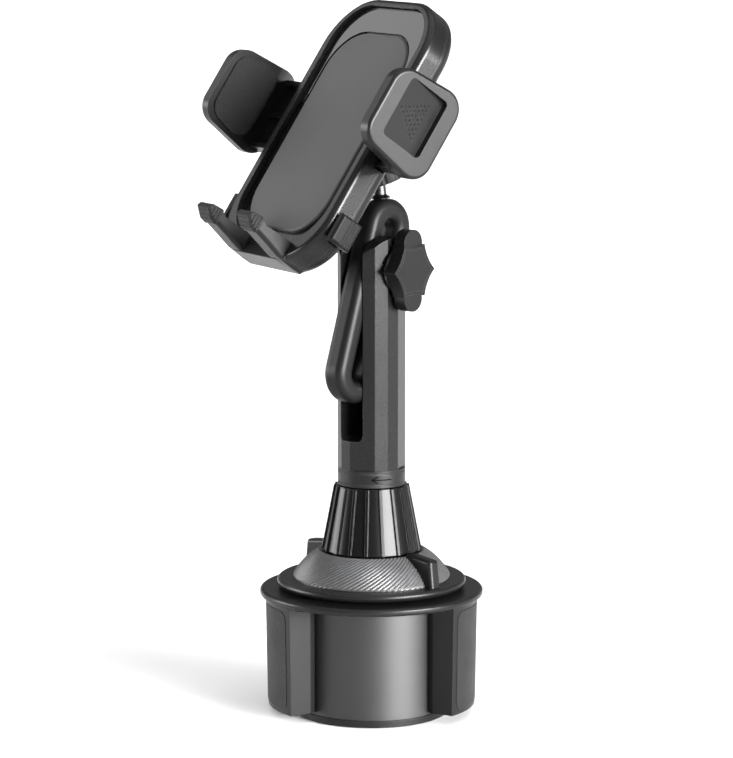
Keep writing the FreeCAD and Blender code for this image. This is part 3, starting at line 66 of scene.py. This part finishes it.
class Shader:
    """A node material under construction; each method adds one node and returns its output."""

    def __init__(self, name):
        self.material = bpy.data.materials.new(name)
        self.material.use_nodes = True
        self.tree = self.material.node_tree
        self.surface = self.tree.nodes["Principled BSDF"]
        self.place = self.tree.nodes.new("ShaderNodeTexCoord").outputs["Object"]

    def add(self, kind, inputs=None, out=0, **settings):
        node = self.tree.nodes.new("ShaderNode" + kind)
        for key, value in settings.items():
            setattr(node, key, value)
        for key, value in (inputs or {}).items():
            self.join(value, node.inputs[key])
        return node.outputs[out]

    def join(self, value, socket):
        if isinstance(value, bpy.types.NodeSocket):
            self.tree.links.new(value, socket)
        else:
            socket.default_value = value

    def math(self, operation, first, second=0.0):
        return self.add("Math", {0: first, 1: second}, operation=operation)

    def noise(self, size, detail=3.0, place=None):
        """Noise whose lumps are about one size across, in metres."""
        inputs = {"Vector": place or self.place, "Scale": 1 / size, "Detail": detail, "Roughness": 0.55}
        return self.add("TexNoise", inputs)

    def cells(self, size, place=None):
        """Distance to the nearest of many scattered points, in cells about one size across."""
        return self.add("TexVoronoi", {"Vector": place or self.place, "Scale": 1 / size})

    def remap(self, value, low, high, to_low, to_high):
        inputs = {"Value": value, "From Min": low, "From Max": high, "To Min": to_low, "To Max": to_high}
        return self.add("MapRange", inputs)

    def mix(self, factor, first, second):
        node = self.tree.nodes.new("ShaderNodeMix")
        node.data_type = "RGBA"
        self.join(factor, node.inputs["Factor"])
        self.join(first, node.inputs["A"])
        self.join(second, node.inputs["B"])
        return next(item for item in node.outputs if item.enabled and item.name == "Result")

    def turned(self, turn):
        """The place in a frame turned by an Euler, so that patterns follow a tilted part."""
        inputs = {"Vector": self.place, "Rotation": turn}
        return self.add("Mapping", inputs, vector_type="TEXTURE")

    def axis(self, place, name):
        node = self.tree.nodes.new("ShaderNodeSeparateXYZ")
        self.join(place, node.inputs[0])
        return node.outputs[name]

    def wave(self, value, pitch):
        """Sine of one coordinate, one full wave per pitch."""
        return self.math("SINE", self.math("MULTIPLY", value, 2 * math.pi / pitch))

    def rounded(self, radius):
        """Normals of the surface as if its hard edges were rounded."""
        return self.add("Bevel", {"Radius": radius}, samples=4)

    def bump(self, height, depth, strength, normal=None):
        inputs = {"Height": height, "Distance": depth, "Strength": strength}
        if normal is not None:
            inputs["Normal"] = normal
        return self.add("Bump", inputs)

    def edges(self, radius):
        """About one on hard edges and none on open surface."""
        soft = self.rounded(radius)
        flat = self.add("NewGeometry", out="Normal")
        facing = self.add("VectorMath", {0: soft, 1: flat}, out="Value", operation="DOT_PRODUCT")
        return self.remap(facing, 0.995, 0.8, 0.0, 1.0)

    def finish(self, color, roughness, normal, **constants):
        self.join(color, self.surface.inputs["Base Color"])
        self.join(roughness, self.surface.inputs["Roughness"])
        self.join(normal, self.surface.inputs["Normal"])
        for name, value in constants.items():
            self.surface.inputs[name.replace("_", " ")].default_value = value
        return self.material


def grey(value, blue=1.03):
    return (value, value, value * blue, 1.0)


# ---- materials --------------------------------------------------------------------------------------

def satin_plastic(name, tone=0.005, rough=0.34, grain=0.02, size=0.25 * MM, shine=1.28):
    """Moulded black plastic: fine grain (its depth in mm), faint flow mottling, hard edges painted lighter in
    patches as a painted highlight.
    """
    s = Shader(name)
    mottle = s.noise(14 * MM, 2.0)
    fine = s.noise(size, 2.0)
    pits = s.cells(2.2 * size)
    edge_highlight_mask = s.edges(0.35 * MM)
    painted_edge_highlight = s.math("MULTIPLY", edge_highlight_mask, s.remap(s.noise(1.6 * MM), 0.35, 0.7, 0.25, 1.0))
    base = s.mix(mottle, grey(tone * 0.85), grey(tone * 1.15))
    # Hard edges are painted lighter in noisy patches: a painted highlight along the edges.
    color = s.mix(painted_edge_highlight, base, grey(tone * 6))
    roughness = s.math("ADD", s.remap(mottle, 0.3, 0.7, rough - 0.012, rough + 0.012),
                       s.math("MULTIPLY", s.math("SUBTRACT", fine, 0.5), 0.10))
    height = s.math("ADD", fine, s.math("MULTIPLY", pits, 0.6))
    normal = s.bump(height, grain * MM, 0.6, s.rounded(0.3 * MM))
    return s.finish(color, roughness, normal, IOR=shine)


def gloss_plastic(name):
    """Piano-black panel with faint orange peel and hairline scratches."""
    s = Shader(name)
    peel = s.noise(2.5 * MM, 1.0)
    hairs = s.noise(0.5 * MM, 1.0, s.add("Mapping", {"Vector": s.place, "Scale": (1.0, 14.0, 3.0)}))
    roughness = s.remap(hairs, 0.45, 0.8, 0.07, 0.16)
    color = s.mix(peel, grey(0.003), grey(0.006))
    normal = s.bump(peel, 0.02 * MM, 0.25, s.rounded(0.2 * MM))
    return s.finish(color, roughness, normal, IOR=1.42, Coat_Weight=0.2, Coat_Roughness=0.04)


def silicone(name):
    """Smooth grey silicone sheet with a soft bloom and very fine tooth."""
    s = Shader(name)
    place = s.turned(CRADLE_TURN)
    cloud = s.noise(18 * MM, 2.0, place)
    tooth = s.noise(0.3 * MM, 2.0, place)
    dust = s.remap(s.noise(0.9 * MM, 4.0, place), 0.62, 0.8, 0.0, 1.0)
    color = s.mix(cloud, grey(0.020), grey(0.026))
    color = s.mix(s.math("MULTIPLY", dust, 0.18), color, grey(0.05))
    roughness = s.remap(tooth, 0.3, 0.7, 0.50, 0.60)
    normal = s.bump(tooth, 0.03 * MM, 0.5, s.rounded(0.4 * MM))
    return s.finish(color, roughness, normal, IOR=1.41, Sheen_Weight=0.12, Sheen_Roughness=0.5)


def woven_rubber(name, turn, pitch=0.9 * MM, tone=0.006, rough=0.5):
    """Rubber pressed with a fine over-and-under weave, in a frame that follows the part; the weave's hollows are
    painted darker and its crests lighter, as painted shade and highlight.
    """
    s = Shader(name)
    place = s.turned(turn)
    first = s.wave(s.math("ADD", s.axis(place, "X"), s.axis(place, "Y")), pitch)
    second = s.wave(s.math("ADD", s.axis(place, "Z"), s.math("MULTIPLY", s.axis(place, "Y"), 0.5)), pitch)
    weave = s.math("MULTIPLY", first, second)
    tooth = s.noise(0.2 * MM, 2.0)
    height = s.math("ADD", s.math("MULTIPLY", weave, 0.5), s.math("MULTIPLY", tooth, 0.4))
    # Colour follows the weave's height: painted shade in the hollows, painted highlight on the crests.
    color = s.mix(s.remap(weave, -1, 1, 0, 1), grey(tone * 0.35), grey(tone * 2.2))
    roughness = s.remap(s.noise(6 * MM), 0.3, 0.7, rough - 0.05, rough + 0.05)
    normal = s.bump(height, 0.14 * MM, 0.9, s.rounded(0.3 * MM))
    return s.finish(color, roughness, normal, IOR=1.24, Sheen_Weight=0.03, Sheen_Roughness=0.5)


def bearing_plastic(name):
    """Natural dark acetal with a waxy surface and faint machining swirl."""
    s = Shader(name)
    fine = s.noise(0.4 * MM, 2.0)
    cloud = s.noise(8 * MM)
    color = s.mix(cloud, grey(0.05), grey(0.07))
    normal = s.bump(fine, 0.03 * MM, 0.4, s.rounded(0.25 * MM))
    return s.finish(color, s.remap(cloud, 0.3, 0.7, 0.32, 0.42), normal, IOR=1.48)


def metal(name, color_low, color_high, rough):
    """Plated or turned metal with fine tool lines and dull spots."""
    s = Shader(name)
    stretched = s.add("Mapping", {"Vector": s.place, "Scale": (1.0, 1.0, 9.0)})
    lines = s.noise(0.35 * MM, 2.0, stretched)
    spots = s.noise(3 * MM)
    color = s.mix(spots, color_low, color_high)
    roughness = s.math("ADD", s.remap(lines, 0.3, 0.7, rough - 0.06, rough + 0.06),
                       s.remap(spots, 0.55, 0.8, 0.0, 0.12))
    normal = s.bump(lines, 0.02 * MM, 0.5, s.rounded(0.2 * MM))
    return s.finish(color, roughness, normal, Metallic=1.0)


# ---- mesh building ----------------------------------------------------------------------------------

def new_mesh(name, points, faces, smooth=True):
    mesh = bpy.data.meshes.new(name)
    mesh.from_pydata([tuple(point) for point in points], [], faces)
    mesh.update()
    item = bpy.data.objects.new(name, mesh)
    bpy.context.scene.collection.objects.link(item)
    for polygon in mesh.polygons:
        polygon.use_smooth = smooth
    return item


def paint(item, material):
    item.data.materials.clear()
    item.data.materials.append(material)


# ---- the dial's knurled dome ------------------------------------------------------------------------

DOME_FOOT = 6.5 * MM              # from the dial's lowest point up to the foot of its dome
DOME_FOOT_RADIUS = 25.8 * MM
DOME_MIDDLE_RADIUS = 22.6 * MM
DOME_MIDDLE_RISE = 4.6 * MM
DOME_TOP_RADIUS = 16.8 * MM
DOME_RISE = 9.0 * MM
KNURL_COUNT = 84
KNURL_LEAN = -0.75                # how far round a ridge runs between the dome's foot and top, radians
KNURL_DEPTH = 0.54 * MM
KNURL_CUTS = 34                   # fine cross cuts between foot and top
KNURL_FADE = 0.04                 # share of the dome's height over which the ridges fade at each rim
KNURL_PROUD = 0.02 * MM           # how far the skin's lowest points stand off the dome
POINTS_PER_RIDGE = 8
KNURL_ROWS = 120


def dome_profile(part):
    """Radius and height of the dome's skin, part 0 at its foot and 1 at its top."""
    low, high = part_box("dial")
    foot_height = low[2] + DOME_FOOT
    foot = np.array([DOME_FOOT_RADIUS, foot_height])
    middle = np.array([DOME_MIDDLE_RADIUS, foot_height + DOME_MIDDLE_RISE])
    top = np.array([DOME_TOP_RADIUS, foot_height + DOME_RISE])
    centre, radius = circle_through(foot, middle, top)
    start = math.atan2(*(foot - centre)[::-1])
    end = math.atan2(*(top - centre)[::-1])
    angle = start + (end - start) * part
    return centre + radius * np.array([math.cos(angle), math.sin(angle)])


def circle_through(first, second, third):
    """Centre and radius of the circle through three points in a plane."""
    rows = np.array([second - first, third - first]) * 2
    sums = np.array([second @ second - first @ first, third @ third - first @ first])
    centre = np.linalg.solve(rows, sums)
    return centre, np.linalg.norm(first - centre)


def knurl_height(angle, part):
    """Rounded diagonal ridges crossed by finer cuts, fading out at both rims."""
    ridge = abs(math.sin((angle + KNURL_LEAN * part) * KNURL_COUNT / 2))
    cut = abs(math.sin(math.pi * KNURL_CUTS * part + (angle * KNURL_COUNT) * 0.5))
    fade = min(1.0, part / KNURL_FADE, (1 - part) / KNURL_FADE)
    return KNURL_DEPTH * fade * (0.25 + 0.75 * ridge) * (0.55 + 0.45 * cut)


def make_knurl(material):
    """A knurled skin over the dome, which turns with the dial."""
    around = KNURL_COUNT * POINTS_PER_RIDGE
    points = []
    for row in range(KNURL_ROWS + 1):
        part = row / KNURL_ROWS
        radius, height = dome_profile(part)
        above = dome_profile(min(1.0, part + 0.01))
        below = dome_profile(max(0.0, part - 0.01))
        ahead = above - below
        outward = np.array([ahead[1], -ahead[0]]) / np.linalg.norm(ahead)
        for column in range(around):
            angle = 2 * math.pi * column / around
            lift = KNURL_PROUD + knurl_height(angle, part)
            r = radius + outward[0] * lift
            points.append((r * math.cos(angle), r * math.sin(angle), height + outward[1] * lift))
    faces = []
    for row in range(KNURL_ROWS):
        for column in range(around):
            a = row * around + column
            b = row * around + (column + 1) % around
            faces.append((a, b, b + around, a + around))
    skin = new_mesh("dial_knurl", points, faces)
    paint(skin, material)
    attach(skin, "dial")


# ---- the arrow on the band --------------------------------------------------------------------------

ARROW_HEAD = 2.2 * MM             # how far the two barbs run back from the tip
ARROW_SPREAD = 1.1 * MM           # how far each barb rises or falls
ARROW_LENGTH = 7.0 * MM
ARROW_STROKE = 0.34 * MM          # width of each line
ARROW_PROUD = 0.03 * MM
ARROW_STEPS = 14                  # short flat pieces that carry each line round the ring


def stroke(start, end, radius, middle):
    """Points and faces of one thin line round a ring, from start to end as (along, rise)."""
    start = np.array(start)
    end = np.array(end)
    across = np.array([start[1] - end[1], end[0] - start[0]])
    across = across / np.linalg.norm(across) * ARROW_STROKE / 2
    points = []
    for index in range(ARROW_STEPS + 1):
        centre = start + (end - start) * index / ARROW_STEPS
        for along, rise in (centre + across, centre - across):
            angle = -math.pi / 2 + along / radius
            points.append((radius * math.cos(angle), radius * math.sin(angle), middle + rise))
    faces = [(2 * i, 2 * i + 1, 2 * i + 3, 2 * i + 2) for i in range(ARROW_STEPS)]
    return points, faces


def make_arrow(material):
    """A thin open arrow round the band, its tip in front, pointing left; its near-black colour is painted shade
    standing in for an engraved groove.
    """
    low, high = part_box("arrow_band")
    radius = (high[0] - low[0]) / 2 + ARROW_PROUD
    middle = (low[2] + high[2]) / 2
    tip = (0.0, 0.0)
    points = []
    faces = []
    for end in ((ARROW_LENGTH, 0.0), (ARROW_HEAD, ARROW_SPREAD), (ARROW_HEAD, -ARROW_SPREAD)):
        new_points, new_faces = stroke(tip, end, radius, middle)
        faces += [tuple(corner + len(points) for corner in face) for face in new_faces]
        points += new_points
    arrow = new_mesh("band_arrow", points, faces, smooth=False)
    paint(arrow, material)
    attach(arrow, "column")


# ---- floor, light, camera ---------------------------------------------------------------------------

FLOOR_REACH = 60.0
WORLD_LIGHT = 0.26


def make_stage():
    """A pale paper floor out to the horizon, under a dim even sky."""
    corners = [(-FLOOR_REACH, -FLOOR_REACH, 0), (FLOOR_REACH, -FLOOR_REACH, 0),
               (FLOOR_REACH, FLOOR_REACH, 0), (-FLOOR_REACH, FLOOR_REACH, 0)]
    floor = new_mesh("floor", corners, [(0, 1, 2, 3)], smooth=False)
    s = Shader("floor_paper")
    tone = s.noise(0.4, 2.0)
    color = s.mix(tone, grey(0.90, 1.0), grey(0.94, 1.0))
    s.finish(color, s.remap(tone, 0.3, 0.7, 0.75, 0.85), s.bump(s.noise(0.004), 0.0002, 0.2))
    paint(floor, s.material)
    world = bpy.data.worlds.new("studio")
    bpy.context.scene.world = world
    world.use_nodes = True
    sky = world.node_tree.nodes["Background"]
    sky.inputs["Color"].default_value = (1, 1, 1, 1)
    sky.inputs["Strength"].default_value = WORLD_LIGHT


def soft_light(name, azimuth, elevation, spread, radiance):
    """A far round light; angles in degrees, azimuth 0 on the camera's side and positive to its right."""
    lamp = bpy.data.lights.new(name, "SUN")
    lamp.angle = math.radians(spread)
    lamp.energy = radiance * math.pi * math.sin(lamp.angle / 2) ** 2
    item = bpy.data.objects.new(name, lamp)
    bpy.context.scene.collection.objects.link(item)
    turn = math.radians(azimuth)
    lift = math.radians(elevation)
    way = Vector((math.sin(turn) * math.cos(lift), -math.cos(turn) * math.cos(lift), math.sin(lift)))
    item.rotation_euler = (-way).to_track_quat("-Z", "Y").to_euler()


def make_lights():
    """A wide overhead light for the floor and three lower ones that draw the edges."""
    soft_light("overhead", 20, 78, 80, 1.5)
    soft_light("key_right", 47, -4, 46, 90)
    soft_light("side_left", -98, 0, 34, 24)
    soft_light("back_left", -122, 30, 30, 2.0)


CAMERA_DISTANCE = 1.08
CAMERA_ELEVATION = math.radians(8.6)
CAMERA_HEIGHT = 0.1118            # the height on the neck's axis at the picture's middle
CAMERA_SIDE = -0.00165            # how far left of the neck's axis the camera looks
CAMERA_LENS = 155.8               # lens and sensor in millimetres
CAMERA_SENSOR = 36
CAMERA_REACH = 300


def make_camera():
    camera = bpy.data.cameras.new("camera")
    camera.lens = CAMERA_LENS
    camera.sensor_width = CAMERA_SENSOR
    camera.clip_end = CAMERA_REACH
    item = bpy.data.objects.new("camera", camera)
    bpy.context.scene.collection.objects.link(item)
    back = Vector((0, -math.cos(CAMERA_ELEVATION), math.sin(CAMERA_ELEVATION)))
    item.location = Vector((CAMERA_SIDE, 0, CAMERA_HEIGHT)) + back * CAMERA_DISTANCE
    item.rotation_euler = (math.pi / 2 - CAMERA_ELEVATION, 0, 0)
    bpy.context.scene.camera = item
    bpy.context.scene.view_settings.view_transform = "Standard"


# ---- putting it together ----------------------------------------------------------------------------

def node_materials():
    """The material of each CAD node: its slot's own, or a slightly different finish for some."""
    plastic = satin_plastic("moulded_black")
    smooth = satin_plastic("fine_black", tone=0.005, rough=0.27, grain=0.010)
    drum = satin_plastic("drum_black", tone=0.005, rough=0.42, grain=0.008, shine=1.52)
    arm = satin_plastic("arm_black", tone=0.004, rough=0.42, grain=0.016, shine=1.24)
    collar = satin_plastic("collar_black", tone=0.003, rough=0.24, grain=0.006, shine=1.22)
    button = satin_plastic("button_black", tone=0.003, rough=0.44, grain=0.004, shine=1.20)
    weave = woven_rubber("cradle_rubber", CRADLE_TURN)
    foot_weave = woven_rubber("foot_rubber", (0, 0, 0), pitch=0.7 * MM)
    acetal = bearing_plastic("acetal")
    steel = metal("zinc_steel", grey(0.42), grey(0.60), 0.32)
    dark_steel = metal("black_steel", grey(0.03), grey(0.06), 0.34)
    brass = metal("brass", (0.55, 0.38, 0.14, 1), (0.72, 0.52, 0.22, 1), 0.30)
    by_slot = {"satin_plastic": plastic, "bearing_plastic": acetal, "rubber": weave,
               "silicone": silicone("face_silicone"), "gloss_plastic": gloss_plastic("piano_black"),
               "steel": steel, "black_steel": dark_steel, "brass": brass}
    table = {part["node"]: by_slot[part["material_slot"]] for part in frame["record"]["subparts"]}
    table.update({name: smooth for name in ("column_post", "front_shell")})
    table.update({"slotted_arm": arm, "base_drum": drum, "lock_collar": collar})
    table.update({name: button for name in ("release_button_left", "release_button_right")})
    table.update({name: foot_weave for name in ("foot_pad_left", "foot_pad_right", "grip_pad")})
    return table


def main():
    table = node_materials()
    for name, item in frame["nodes"].items():
        paint(item, table[name])
    make_knurl(satin_plastic("knurl_grey", tone=0.035, rough=0.34, grain=0.008, shine=1.48))
    # The arrow is a thin strip in near-black: painted shade standing in for the engraved groove.
    make_arrow(satin_plastic("arrow_painted_shade", tone=0.001, rough=0.8, shine=1.06))
    make_stage()
    make_lights()
    make_camera()


main()
